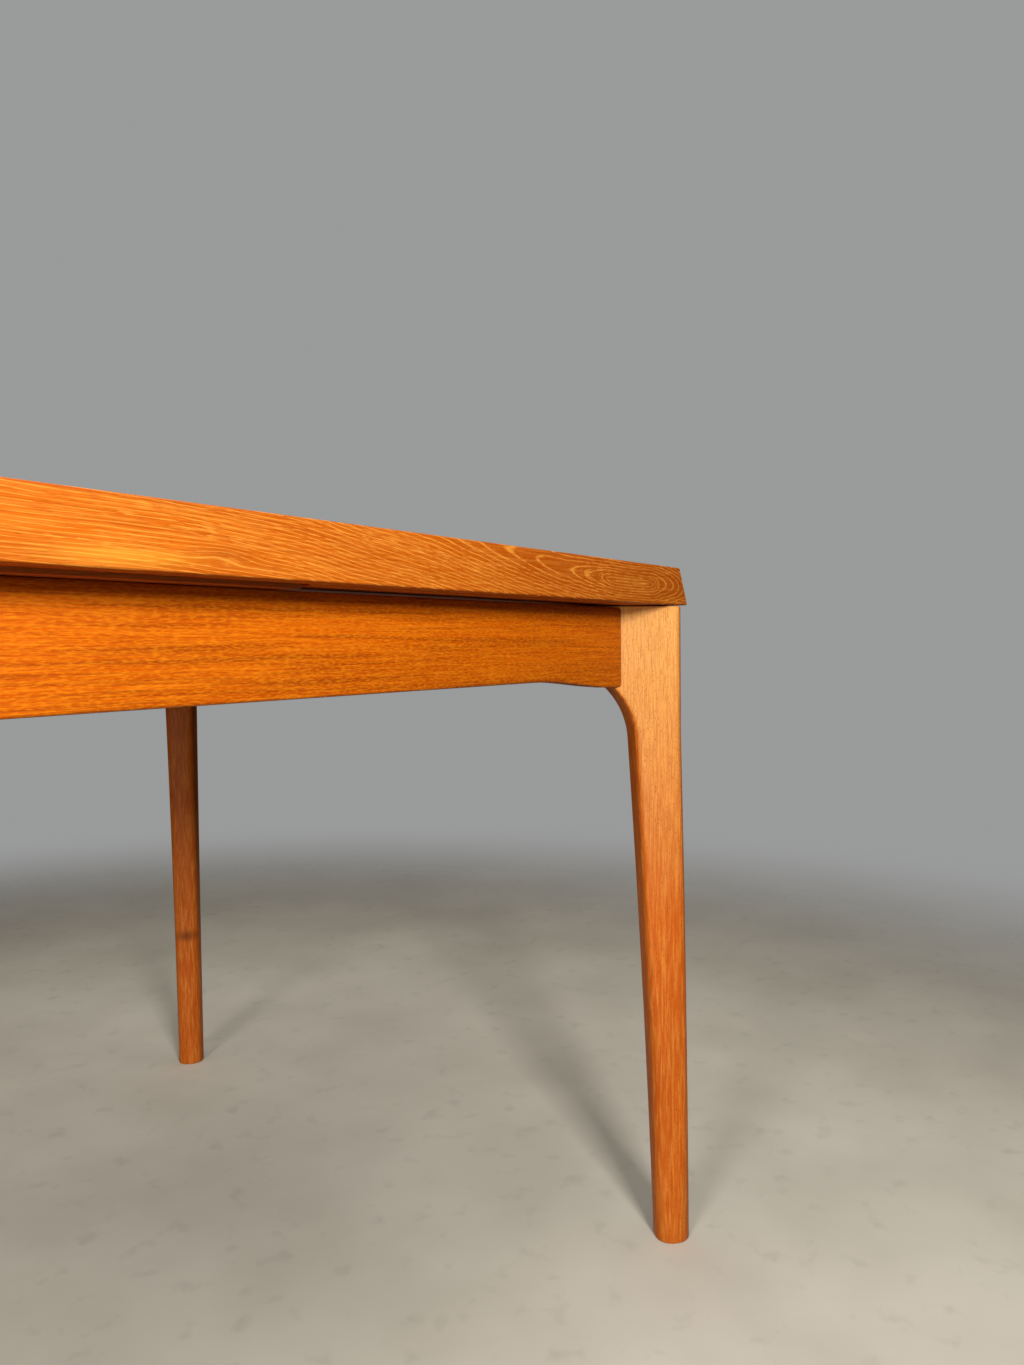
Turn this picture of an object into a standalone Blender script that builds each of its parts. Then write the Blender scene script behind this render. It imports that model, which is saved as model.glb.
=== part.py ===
"""Draw-leaf dining table in oiled teak, in metres, +Z up, feet on Z = 0, length along X.

A loose main top with deep slanted lippings lies over two leaves and a fixed centre board. Each leaf
slides out on two long bearers that run in notches of the end apron and of two cross rails. The legs
stand diagonally at the corners, with their heads between the mitred ends of the aprons.
"""

import math

import bmesh
import bpy
from mathutils import Matrix, Vector

# Clearance between pieces that touch, and the distance within which a point counts as on a face.
GAP = 0.0003
TOUCH = 1e-5

# Main top: size of its upper face, and how far the slanted edge spreads down to the lower arris.
HEIGHT = 0.730
TOP_LENGTH = 1.350
TOP_WIDTH = 0.850
EDGE_DEPTH = 0.040
EDGE_SLANT = 0.006
PANEL_THICKNESS = 0.020
LIPPING_WIDTH = 0.022
UPPER_ARRIS = 0.003
LOWER_ARRIS = 0.0015
ARRIS_STEPS = 3

# Levels under the main top.
UNDERSIDE = HEIGHT - EDGE_DEPTH
PANEL_BOTTOM = HEIGHT - PANEL_THICKNESS
LEAF_TOP = PANEL_BOTTOM - 0.0005
LEAF_BOTTOM = 0.6895
LEG_TOP = 0.6885
APRON_TOP = 0.687
APRON_BOTTOM = 0.6147

# Outline of the lower arris, and the inner faces of the long lippings.
HALF_LENGTH = TOP_LENGTH / 2 + EDGE_SLANT
HALF_WIDTH = TOP_WIDTH / 2 + EDGE_SLANT
CHANNEL = HALF_WIDTH - LIPPING_WIDTH
PANEL_SLANT = EDGE_SLANT * PANEL_THICKNESS / EDGE_DEPTH

# Leaves, with lippings of different widths on their three kinds of edge.
LEAF_LENGTH = 0.526
LEAF_SIDE_PLAY = 0.001
LEAF_OUTER_LIPPING = 0.026
LEAF_SIDE_LIPPING = 0.010
LEAF_INNER_LIPPING = 0.008
LEAF_TRAVEL = 0.500

# Bearers under the leaves, with a lower tail that passes under the centre board. Their ends and their
# step are distances from the middle of the table, and each leaf has its own pair of lanes.
BEARER_WIDTH = 0.024
BEARER_BOTTOM = 0.6595
BEARER_TAIL_TOP = 0.6868
BEARER_TAIL_END = -0.450
BEARER_STEP = 0.160
BEARER_STEP_RUN = 0.006
BEARER_OUTER_END = 0.650
BEARER_NOSE_LENGTH = 0.012
BEARER_NOSE_HEIGHT = 0.010
BEARER_LANE = {"right": 0.200, "left": 0.162}
NOTCH_PLAY = 0.0008
STOP_LENGTH = 0.020
STOP_DEPTH = 0.014
STOP_INSET = 0.001
STOP_PLAY = 0.001

# Fixed board between the leaves, its dowels and screws, and the rails under it.
BOARD_HALF_LENGTH = 0.146
BOARD_SIDE_PLAY = 0.002
RAIL_CENTRE = 0.085
RAIL_THICKNESS = 0.020
RAIL_DEPTH = 0.048
DOWEL_LANE = 0.260
DOWEL_RADIUS = 0.008
DOWEL_BOTTOM = 0.668
DOWEL_POINT = (0.0025, 0.004)
DOWEL_PLAY = 0.001
SCREW_LANE = 0.118
SCREW_BOTTOM = 0.662
SCREW_HEAD_BELOW = 0.001
SCREW_RADIUS = 0.0021
SCREW_HEAD_RADIUS = 0.0044
SCREW_HEAD_DEPTH = 0.0036
SCREW_HEAD_RIM = 0.0008
SCREW_POINT = (0.0006, 0.006)
SCREW_PLAY = 0.0004

# Aprons: setback of the outer face from the lower arris, and the lower edge's fall near each leg.
APRON_SETBACK = 0.042
APRON_THICKNESS = 0.021
APRON_INNER = APRON_SETBACK + APRON_THICKNESS
APRON_FALL = 0.0105
APRON_FALL_START = 0.235
APRON_FALL_STEPS = 7

# Legs, along the diagonal from the corner of the lower arris. Each face is a shallow curve, given by
# its distance at the floor, its lean, and how the lean grows with height.
LEG_INNER_FACE = (0.0408, 0.0261, 0.0306)
LEG_OUTER_FACE = (0.0038, 0.0090, 0.0139)
LEG_SIDE_FACE = (0.0183, -0.0037, 0.0143)
LEG_STEP = 0.070
LEG_SHOULDER = 0.550
LEG_HEAD_INNER = 0.110
HAUNCH_RADIUS = 0.0765
HAUNCH_STEPS = 7
FOOT_ARRIS = 0.0012
FOOT_CORNER = 0.016
HEAD_CORNER = 0.009
HEAD_INNER_CORNER = 0.003
CORNER_TAPER_END = 0.490
CORNER_STEPS = 5

# Corner blocks behind the leg heads, each held by one bolt along the diagonal.
BLOCK_DEPTH = 0.026
BLOCK_BOTTOM = 0.622
BLOCK_TOP = 0.682
BOLT_LEVEL = 0.650
BOLT_RADIUS = 0.003
BOLT_LENGTH = 0.060
BOLT_POINT = (0.001, 0.002)
BOLT_HEAD_RADIUS = 0.0065
BOLT_HEAD_DEPTH = 0.0045
BOLT_HEAD_ARRIS = (0.0015, 0.001)
BOLT_PLAY = 0.0005

# Sides of a turned piece, the overshoot of a hole past its faces, and the angle of a sharp edge.
ROUND_STEPS = 24
THROUGH = 0.010
SHARP = math.radians(40)

TEAK_EDGE = (0.42, 0.16, 0.045)
TEAK_FACE = (0.50, 0.20, 0.055)
TEAK_LEG = (0.55, 0.22, 0.065)
BEECH = (0.56, 0.38, 0.20)
STEEL = (0.45, 0.45, 0.46)

SIDES = {"front": -1, "back": 1}
ENDS = {"right": 1, "left": -1}
UPRIGHT = (math.pi / 2, 0.0, 0.0)

for old in list(bpy.data.objects):
    bpy.data.objects.remove(old, do_unlink=True)

table = bpy.data.collections.new("draw_leaf_table")
cutters = bpy.data.collections.new("cutters")
bpy.context.scene.collection.children.link(table)
bpy.context.scene.collection.children.link(cutters)


def add_frame(name, place, turn=0.0):
    """An empty, turned about Z, that a group of pieces hangs on."""
    frame = bpy.data.objects.new(name, None)
    frame.location = place
    frame.rotation_euler.z = turn
    frame.empty_display_size = 0.05
    table.objects.link(frame)
    return frame


def add_piece(name, data, colour, place, turn=(0.0, 0.0, 0.0), frame=None, roughness=0.45, metallic=0.0):
    """An object with its own material, placed and turned in the coordinates of its frame."""
    paint = bpy.data.materials.new(name)
    paint.use_nodes = True
    shader = paint.node_tree.nodes["Principled BSDF"]
    shader.inputs["Base Color"].default_value = (*colour, 1.0)
    shader.inputs["Roughness"].default_value = roughness
    shader.inputs["Metallic"].default_value = metallic
    data.materials.append(paint)
    piece = bpy.data.objects.new(name, data)
    piece.location = place
    piece.rotation_euler = turn
    piece.parent = frame
    table.objects.link(piece)
    return piece


def add_cutter(name, data, place, turn=(0.0, 0.0, 0.0), frame=None):
    """A solid that is only taken away from others, and isn't a part of the table."""
    cutter = bpy.data.objects.new(name, data)
    cutter.location = place
    cutter.rotation_euler = turn
    cutter.parent = frame
    cutter.hide_render = True
    cutter.display_type = "WIRE"
    cutters.objects.link(cutter)
    return cutter


def cut(piece, cutter):
    """Takes the cutter's shape out of the piece."""
    boolean = piece.modifiers.new(cutter.name, "BOOLEAN")
    boolean.operation = "DIFFERENCE"
    boolean.solver = "EXACT"
    boolean.object = cutter


def mesh_data(mesh, name):
    """Mesh data from a bmesh, with its faces pointing out."""
    bmesh.ops.recalc_face_normals(mesh, faces=mesh.faces)
    data = bpy.data.meshes.new(name)
    mesh.to_mesh(data)
    mesh.free()
    return data


def block(length, width, depth):
    """A box round its own origin."""
    mesh = bmesh.new()
    bmesh.ops.create_cube(mesh, size=1.0, matrix=Matrix.Diagonal((length, width, depth, 1.0)))
    return mesh


def lean(mesh, axis, side, amount):
    """Moves a box's upper edge inwards on one side, so that the face there leans."""
    for vertex in mesh.verts:
        if vertex.co.z > 0 and vertex.co[axis] * side > 0:
            vertex.co[axis] -= side * amount


def round_edges(mesh, radius, chosen):
    """Rounds the edges whose middle the test picks."""
    edges = [edge for edge in mesh.edges if chosen((edge.verts[0].co + edge.verts[1].co) / 2)]
    bmesh.ops.bevel(
        mesh, geom=edges, offset=radius, segments=ARRIS_STEPS, profile=0.5, affect="EDGES"
    )


def slab(outline, thickness):
    """A plate over a flat outline, half its thickness above and below its own XY plane."""
    curve = bpy.data.curves.new("outline", "CURVE")
    curve.dimensions = "2D"
    curve.fill_mode = "BOTH"
    curve.extrude = thickness / 2
    spline = curve.splines.new("POLY")
    spline.points.add(len(outline) - 1)
    for point, (x, y) in zip(spline.points, outline):
        point.co = (x, y, 0.0, 1.0)
    spline.use_cyclic_u = True
    guide = bpy.data.objects.new("outline", curve)
    table.objects.link(guide)
    evaluated = guide.evaluated_get(bpy.context.evaluated_depsgraph_get())
    data = bpy.data.meshes.new_from_object(evaluated)
    mesh = bmesh.new()
    mesh.from_mesh(data)
    bmesh.ops.remove_doubles(mesh, verts=mesh.verts, dist=1e-6)
    bpy.data.objects.remove(guide)
    bpy.data.curves.remove(curve)
    bpy.data.meshes.remove(data)
    return mesh


def turned(profile, name):
    """The profile of a round piece, as (radius, height) from its top to its bottom, closed on the axis."""
    points = [(radius, 0.0, height) for radius, height in profile]
    points = [(0.0, 0.0, profile[0][1]), *points, (0.0, 0.0, profile[-1][1])]
    data = bpy.data.meshes.new(name)
    data.from_pydata(points, [(i, i + 1) for i in range(len(points) - 1)], [])
    return data


def turn(piece):
    """Turns a piece's profile about its own Z axis."""
    screw = piece.modifiers.new("turn", "SCREW")
    screw.steps = ROUND_STEPS
    screw.render_steps = ROUND_STEPS
    screw.use_merge_vertices = True
    screw.merge_threshold = 1e-5
    screw.use_smooth_shade = True
    return piece


# Main top. Its lippings are 40 mm deep on the long sides, where they hide the leaves, and as thick as
# the panel at the ends, where the leaves come out under them. It is loose on two dowels.
top_frame = add_frame("top_frame", (0.0, 0.0, UNDERSIDE))
for side, sign in SIDES.items():
    lipping = block(2 * HALF_LENGTH, LIPPING_WIDTH, EDGE_DEPTH)
    lean(lipping, 0, 1, EDGE_SLANT)
    lean(lipping, 0, -1, EDGE_SLANT)
    lean(lipping, 1, sign, EDGE_SLANT)
    for face, radius in ((1, UPPER_ARRIS), (-1, LOWER_ARRIS)):
        round_edges(
            lipping,
            radius,
            lambda p: p.z * face > EDGE_DEPTH / 2 - TOUCH
            and (abs(p.x) > HALF_LENGTH / 2 or p.y * sign > 0),
        )
    centre = (0.0, sign * (CHANNEL + LIPPING_WIDTH / 2), EDGE_DEPTH / 2)
    name = f"top_lipping_{side}"
    add_piece(name, mesh_data(lipping, name), TEAK_EDGE, centre, frame=top_frame)

panel_level = EDGE_DEPTH - PANEL_THICKNESS / 2
inner_end = TOP_LENGTH / 2 - LIPPING_WIDTH
for end, sign in ENDS.items():
    lipping = block(LIPPING_WIDTH + PANEL_SLANT, 2 * (CHANNEL - GAP), PANEL_THICKNESS)
    lean(lipping, 0, sign, PANEL_SLANT)
    round_edges(
        lipping,
        UPPER_ARRIS,
        lambda p: p.z > PANEL_THICKNESS / 2 - TOUCH and p.x * sign > LIPPING_WIDTH / 4,
    )
    centre = (sign * (inner_end + (LIPPING_WIDTH + PANEL_SLANT) / 2), 0.0, panel_level)
    name = f"top_lipping_{end}"
    add_piece(name, mesh_data(lipping, name), TEAK_EDGE, centre, frame=top_frame)

panel = block(2 * (inner_end - GAP), 2 * (CHANNEL - GAP), PANEL_THICKNESS)
add_piece("top_panel", mesh_data(panel, "top_panel"), TEAK_FACE, (0.0, 0.0, panel_level), frame=top_frame)

dowel_length = PANEL_BOTTOM - GAP - DOWEL_BOTTOM
dowel_profile = (
    (DOWEL_RADIUS, dowel_length),
    (DOWEL_RADIUS, DOWEL_POINT[1]),
    (DOWEL_RADIUS - DOWEL_POINT[0], 0.0),
)
for side, sign in SIDES.items():
    name = f"top_dowel_{side}"
    place = (0.0, sign * DOWEL_LANE, DOWEL_BOTTOM - UNDERSIDE)
    turn(add_piece(name, turned(dowel_profile, name), BEECH, place, frame=top_frame))


# Leaves. A leaf's frame sits at the bottom of its outer end and is turned so that its +X points out of
# the table; the pieces of both leaves then have the same places.
def add_leaf_box(name, outer, inner, near, far, bottom, top, colour, frame):
    """A box between two distances inwards from the leaf's outer end, across and in height."""
    mesh = block(outer - inner, far - near, top - bottom)
    centre = ((outer + inner) / 2, (near + far) / 2, (bottom + top) / 2)
    return add_piece(name, mesh_data(mesh, name), colour, centre, frame=frame)


leaf_thickness = LEAF_TOP - LEAF_BOTTOM
leaf_reach = CHANNEL - LEAF_SIDE_PLAY
panel_outer = -LEAF_OUTER_LIPPING - GAP
panel_inner = -LEAF_LENGTH + LEAF_INNER_LIPPING + GAP
panel_reach = leaf_reach - LEAF_SIDE_LIPPING - GAP
bearer_low = BEARER_BOTTOM - LEAF_BOTTOM
bearer_tail_top = BEARER_TAIL_TOP - LEAF_BOTTOM
bearer_outline = (
    (BEARER_TAIL_END - HALF_LENGTH, bearer_low),
    (BEARER_OUTER_END - HALF_LENGTH - BEARER_NOSE_LENGTH, bearer_low),
    (BEARER_OUTER_END - HALF_LENGTH, bearer_low + BEARER_NOSE_HEIGHT),
    (BEARER_OUTER_END - HALF_LENGTH, -GAP),
    (BEARER_STEP - HALF_LENGTH, -GAP),
    (BEARER_STEP - HALF_LENGTH - BEARER_STEP_RUN, bearer_tail_top),
    (BEARER_TAIL_END - HALF_LENGTH, bearer_tail_top),
)
stop_outer = -APRON_INNER - STOP_PLAY - LEAF_TRAVEL
stop_top = bearer_low - GAP
for end, sign in ENDS.items():
    leaf_turn = 0.0 if sign > 0 else math.pi
    leaf = add_frame(f"{end}_leaf_frame", (sign * HALF_LENGTH, 0.0, LEAF_BOTTOM), leaf_turn)

    name = f"{end}_leaf_outer_lipping"
    outer_lipping = block(LEAF_OUTER_LIPPING, 2 * leaf_reach, leaf_thickness)
    lean(outer_lipping, 0, 1, PANEL_SLANT)
    round_edges(
        outer_lipping,
        LOWER_ARRIS,
        lambda p: p.x > LEAF_OUTER_LIPPING / 4 and abs(p.y) < leaf_reach / 2,
    )
    centre = (-LEAF_OUTER_LIPPING / 2, 0.0, leaf_thickness / 2)
    add_piece(name, mesh_data(outer_lipping, name), TEAK_EDGE, centre, frame=leaf)

    across = (-leaf_reach, leaf_reach)
    height = (0.0, leaf_thickness)
    inner_edge = (-LEAF_LENGTH + LEAF_INNER_LIPPING, -LEAF_LENGTH)
    add_leaf_box(f"{end}_leaf_inner_lipping", *inner_edge, *across, *height, TEAK_EDGE, leaf)
    panel_across = (-panel_reach, panel_reach)
    add_leaf_box(f"{end}_leaf_panel", panel_outer, panel_inner, *panel_across, *height, TEAK_FACE, leaf)

    for side, way in SIDES.items():
        hand = way * sign
        near, far = sorted((hand * (leaf_reach - LEAF_SIDE_LIPPING), hand * leaf_reach))
        name = f"{end}_leaf_{side}_lipping"
        add_leaf_box(name, panel_outer, panel_inner, near, far, *height, TEAK_EDGE, leaf)

        lane = hand * BEARER_LANE[end]
        name = f"{end}_leaf_{side}_bearer"
        bearer = mesh_data(slab(bearer_outline, BEARER_WIDTH), name)
        add_piece(name, bearer, BEECH, (0.0, lane, 0.0), UPRIGHT, leaf)

        half = BEARER_WIDTH / 2 - STOP_INSET
        along = (stop_outer, stop_outer - STOP_LENGTH)
        depth = (stop_top - STOP_DEPTH, stop_top)
        add_leaf_box(f"{end}_leaf_{side}_stop", *along, lane - half, lane + half, *depth, BEECH, leaf)


# Centre board, fixed on the long aprons, with holes for the dowels of the main top.
board_bottom = APRON_TOP + GAP
board = block(2 * BOARD_HALF_LENGTH, 2 * (CHANNEL - BOARD_SIDE_PLAY), LEAF_TOP - board_bottom)
board_centre = (0.0, 0.0, (LEAF_TOP + board_bottom) / 2)
board = add_piece("centre_board", mesh_data(board, "centre_board"), TEAK_FACE, board_centre)
hole_radius = DOWEL_RADIUS + DOWEL_PLAY
dowel_hole = ((hole_radius, LEAF_TOP + THROUGH), (hole_radius, board_bottom - THROUGH))
for side, sign in SIDES.items():
    name = f"dowel_hole_{side}"
    cut(board, turn(add_cutter(name, turned(dowel_hole, name), (0.0, sign * DOWEL_LANE, 0.0))))


def notches(lanes):
    """The upper edge's run from +X to -X down into the notch of each bearer and up again."""
    half = BEARER_WIDTH / 2 + NOTCH_PLAY
    floor = BEARER_BOTTOM - NOTCH_PLAY
    points = []
    for lane in sorted(lanes, reverse=True):
        points += [(lane + half, APRON_TOP), (lane + half, floor)]
        points += [(lane - half, floor), (lane - half, APRON_TOP)]
    return points


# Cross rails under the centre board, notched for all four bearers.
all_lanes = [way * lane for lane in BEARER_LANE.values() for way in (-1, 1)]
rail_reach = HALF_WIDTH - APRON_INNER - GAP
rail_bottom = APRON_TOP - RAIL_DEPTH
rail_outline = [(-rail_reach, rail_bottom), (rail_reach, rail_bottom), (rail_reach, APRON_TOP)]
rail_outline += [*notches(all_lanes), (-rail_reach, APRON_TOP)]
for end, sign in ENDS.items():
    name = f"cross_rail_{end}"
    rail = mesh_data(slab(rail_outline, RAIL_THICKNESS), name)
    add_piece(name, rail, BEECH, (sign * RAIL_CENTRE, 0.0, 0.0), (math.pi / 2, 0.0, math.pi / 2))


def quadratic(terms, level):
    """A curved face's distance at a height, from its distance at the floor, lean and growth."""
    base, slope, growth = terms
    return base + slope * level + growth * level**2


# Aprons. The lower edge falls towards each leg in an ogee, and the ends are mitred at 45 degrees
# against the leg heads.
leg_head_half = quadratic(LEG_SIDE_FACE, LEG_SHOULDER)


def apron_mesh(half_length, lanes=()):
    """An apron of this half length of lower arris, its outer face up, with notches for these lanes."""
    reach = half_length - APRON_SETBACK - leg_head_half * math.sqrt(2)
    start = half_length - APRON_FALL_START
    lower = []
    for step in range(APRON_FALL_STEPS + 1):
        t = step / APRON_FALL_STEPS
        fall = APRON_FALL * (1 - math.cos(math.pi * t)) / 2
        lower.append((start + (reach - start) * t, APRON_BOTTOM - fall))
    left = [(-x, level) for x, level in reversed(lower)]
    outline = [*left, *lower, (reach, APRON_TOP), *notches(lanes), (-reach, APRON_TOP)]
    mesh = slab(outline, APRON_THICKNESS)
    for vertex in mesh.verts:
        if abs(vertex.co.x) > reach - TOUCH:
            depth = APRON_THICKNESS / 2 - vertex.co.z
            vertex.co.x -= math.copysign(depth + GAP * math.sqrt(2), vertex.co.x)
    return mesh


def add_apron(name, half_length, distance, heading, lanes=()):
    """An apron at this distance from the middle of the table, facing along its heading."""
    direction = Vector((math.sin(heading), -math.cos(heading), 0.0))
    data = mesh_data(apron_mesh(half_length, lanes), name)
    turned_up = (math.pi / 2, 0.0, heading)
    return add_piece(name, data, TEAK_FACE, direction * (distance - APRON_THICKNESS / 2), turned_up)


long_aprons = {}
for side, heading in (("front", 0.0), ("back", math.pi)):
    long_aprons[side] = add_apron(f"apron_{side}", HALF_LENGTH, HALF_WIDTH - APRON_SETBACK, heading)
for end, heading in (("right", math.pi / 2), ("left", -math.pi / 2)):
    own_lanes = (-BEARER_LANE[end], BEARER_LANE[end])
    add_apron(f"apron_{end}", HALF_WIDTH, HALF_LENGTH - APRON_SETBACK, heading, own_lanes)

# Countersunk screws that hold the centre board down on the long aprons.
screw_top = LEAF_TOP - SCREW_HEAD_BELOW - SCREW_BOTTOM
neck = screw_top - SCREW_HEAD_DEPTH
rim = screw_top - SCREW_HEAD_RIM
screw_profile = (
    (SCREW_HEAD_RADIUS, screw_top),
    (SCREW_HEAD_RADIUS, rim),
    (SCREW_RADIUS, neck),
    (SCREW_RADIUS, SCREW_POINT[1]),
    (SCREW_POINT[0], 0.0),
)
screw_hole = (
    (SCREW_HEAD_RADIUS + SCREW_PLAY, screw_top + THROUGH),
    (SCREW_HEAD_RADIUS + SCREW_PLAY, rim - SCREW_PLAY),
    (SCREW_RADIUS + SCREW_PLAY, neck - SCREW_PLAY),
    (SCREW_RADIUS + SCREW_PLAY, -SCREW_PLAY),
)
for side, sign in SIDES.items():
    for end, way in ENDS.items():
        y = sign * (HALF_WIDTH - APRON_SETBACK - APRON_THICKNESS / 2)
        place = (way * SCREW_LANE, y, SCREW_BOTTOM)
        name = f"board_screw_{side}_{end}"
        turn(add_piece(name, turned(screw_profile, name), STEEL, place, roughness=0.35, metallic=1.0))
        name = f"screw_hole_{side}_{end}"
        cutter = turn(add_cutter(name, turned(screw_hole, name), place))
        cut(board, cutter)
        cut(long_aprons[side], cutter)


# Legs. A leg is lofted from rounded rectangles whose sides stand along and across the diagonal.
def leg_section(level, inner, inner_corner, inset=0.0):
    """The ring at a height, in the corner's frame, where +X runs inwards along the diagonal."""
    held = min(level, LEG_SHOULDER)
    outer = quadratic(LEG_OUTER_FACE, held) + inset
    side = quadratic(LEG_SIDE_FACE, held) - inset
    inner -= inset
    slimming = max(0.0, 1 - level / CORNER_TAPER_END) ** 2
    outer_corner = HEAD_CORNER + (FOOT_CORNER - HEAD_CORNER) * slimming
    inner_corner = outer_corner if inner_corner is None else inner_corner
    points = []
    for along, toward, across, radius, start in (
        (inner, -1, side, inner_corner, 0),
        (outer, 1, side, outer_corner, 90),
        (outer, 1, -side, outer_corner, 180),
        (inner, -1, -side, inner_corner, 270),
    ):
        centre_along = along + toward * radius
        centre_across = across - math.copysign(radius, across)
        for step in range(CORNER_STEPS + 1):
            angle = math.radians(start + 90 * step / CORNER_STEPS)
            x = centre_along + radius * math.cos(angle)
            y = centre_across + radius * math.sin(angle)
            points.append((x, y, level))
    return points


def leg_sections():
    """The rings from the floor up: foot, tapered shaft, the haunch's quarter arc, and the head."""
    sections = [leg_section(0.0, quadratic(LEG_INNER_FACE, 0.0), None, FOOT_ARRIS)]
    sections.append(leg_section(FOOT_ARRIS, quadratic(LEG_INNER_FACE, FOOT_ARRIS), None))
    level = LEG_STEP
    while level < LEG_SHOULDER:
        sections.append(leg_section(level, quadratic(LEG_INNER_FACE, level), None))
        level += LEG_STEP
    run = LEG_HEAD_INNER - quadratic(LEG_INNER_FACE, LEG_SHOULDER)
    sweep = math.acos(1 - run / HAUNCH_RADIUS)
    for step in range(HAUNCH_STEPS + 1):
        t = step / HAUNCH_STEPS
        level = LEG_SHOULDER + HAUNCH_RADIUS * math.sin(sweep * t)
        bulge = HAUNCH_RADIUS * (1 - math.cos(sweep * t))
        inner = min(quadratic(LEG_INNER_FACE, level) + bulge, LEG_HEAD_INNER)
        corner = HEAD_CORNER + (HEAD_INNER_CORNER - HEAD_CORNER) * t
        sections.append(leg_section(level, inner, corner))
    sections.append(leg_section(LEG_TOP, LEG_HEAD_INNER, HEAD_INNER_CORNER))
    return sections


def leg_mesh():
    """Quads between neighbouring rings, and a cap on each end."""
    mesh = bmesh.new()
    rings = [[mesh.verts.new(point) for point in section] for section in leg_sections()]
    mesh.faces.new(rings[0])
    mesh.faces.new(rings[-1])
    for lower, upper in zip(rings, rings[1:]):
        for i, j in zip(range(-1, len(lower) - 1), range(len(lower))):
            mesh.faces.new((lower[i], lower[j], upper[j], upper[i]))
    return mesh


def shade_round(data):
    """Smooth shading, apart from the edges that are sharper than SHARP."""
    data.shade_smooth()
    data.set_sharp_from_angle(angle=SHARP)
    return data


# Each corner has a frame of its own on the floor under the corner of the lower arris, with the leg, the
# block behind its head and the bolt that holds the two together.
block_near = LEG_HEAD_INNER + GAP
block_far = block_near + BLOCK_DEPTH
apron_corner = (APRON_INNER + GAP) * math.sqrt(2)
block_outline = (
    (block_near, -(block_near - apron_corner)),
    (block_far, -(block_far - apron_corner)),
    (block_far, block_far - apron_corner),
    (block_near, block_near - apron_corner),
)
bolt_profile = (
    (BOLT_RADIUS - BOLT_POINT[0], BOLT_LENGTH),
    (BOLT_RADIUS, BOLT_LENGTH - BOLT_POINT[1]),
    (BOLT_RADIUS, BOLT_HEAD_DEPTH),
    (BOLT_HEAD_RADIUS, BOLT_HEAD_DEPTH),
    (BOLT_HEAD_RADIUS, BOLT_HEAD_ARRIS[1]),
    (BOLT_HEAD_RADIUS - BOLT_HEAD_ARRIS[0], 0.0),
)
bolt_hole = (
    (BOLT_RADIUS + BOLT_PLAY, BOLT_LENGTH + BOLT_POINT[1]),
    (BOLT_RADIUS + BOLT_PLAY, BOLT_HEAD_DEPTH - BOLT_POINT[1]),
)
bolt_place = (block_far + GAP + BOLT_HEAD_DEPTH, 0.0, BOLT_LEVEL)
outwards = (0.0, -math.pi / 2, 0.0)
for side, sign in SIDES.items():
    for end, way in ENDS.items():
        corner = f"{side}_{end}"
        heading = math.atan2(-sign, -way)
        frame = add_frame(f"{corner}_corner_frame", (way * HALF_LENGTH, sign * HALF_WIDTH, 0.0), heading)

        name = f"leg_{corner}"
        leg = add_piece(name, shade_round(mesh_data(leg_mesh(), name)), TEAK_LEG, (0, 0, 0), frame=frame)

        name = f"corner_block_{corner}"
        corner_block = mesh_data(slab(block_outline, BLOCK_TOP - BLOCK_BOTTOM), name)
        place = (0.0, 0.0, (BLOCK_TOP + BLOCK_BOTTOM) / 2)
        corner_block = add_piece(name, corner_block, BEECH, place, frame=frame)

        name = f"corner_bolt_{corner}"
        bolt = turned(bolt_profile, name)
        turn(add_piece(name, bolt, STEEL, bolt_place, outwards, frame, roughness=0.35, metallic=1.0))

        name = f"bolt_hole_{corner}"
        hole = turn(add_cutter(name, turned(bolt_hole, name), bolt_place, outwards, frame))
        cut(leg, hole)
        cut(corner_block, hole)
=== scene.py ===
"""Draw-leaf table in oiled teak. The looks of the table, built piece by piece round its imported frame.

Metres, +Z up, the length along X. The sections follow the table as it is put together: main top,
leaves with their bearers, centre board, aprons, legs, and the blocks and bolts behind the legs.
"""

import math

import bpy
import numpy as np
from mathutils import Matrix, Vector


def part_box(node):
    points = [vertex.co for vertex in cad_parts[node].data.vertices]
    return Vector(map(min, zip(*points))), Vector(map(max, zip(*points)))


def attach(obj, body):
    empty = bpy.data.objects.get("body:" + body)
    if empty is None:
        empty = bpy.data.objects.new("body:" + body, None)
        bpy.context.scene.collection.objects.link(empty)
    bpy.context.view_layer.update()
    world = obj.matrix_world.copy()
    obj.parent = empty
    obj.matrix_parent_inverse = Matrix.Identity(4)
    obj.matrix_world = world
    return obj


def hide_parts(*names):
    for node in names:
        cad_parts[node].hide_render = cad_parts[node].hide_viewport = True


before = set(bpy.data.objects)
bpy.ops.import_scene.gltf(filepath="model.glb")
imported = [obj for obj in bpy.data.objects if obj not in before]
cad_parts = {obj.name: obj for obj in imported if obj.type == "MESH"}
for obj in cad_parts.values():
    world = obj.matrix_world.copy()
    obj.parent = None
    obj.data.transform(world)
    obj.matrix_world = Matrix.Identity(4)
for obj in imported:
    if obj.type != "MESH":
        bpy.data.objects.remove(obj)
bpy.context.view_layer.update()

# Camera. It stands low at the front long side, left of the middle, a little under the height of the
# top, and looks along the front edge towards the right end.
CAMERA_PLACE = (-0.2977, -0.8790, 0.6492)
CAMERA_TURN = (87.823, 0.656, -55.244)
CAMERA_LENS = 25.88
CAMERA_SENSOR = 36.0
CAMERA_NEAREST = 0.02

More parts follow.
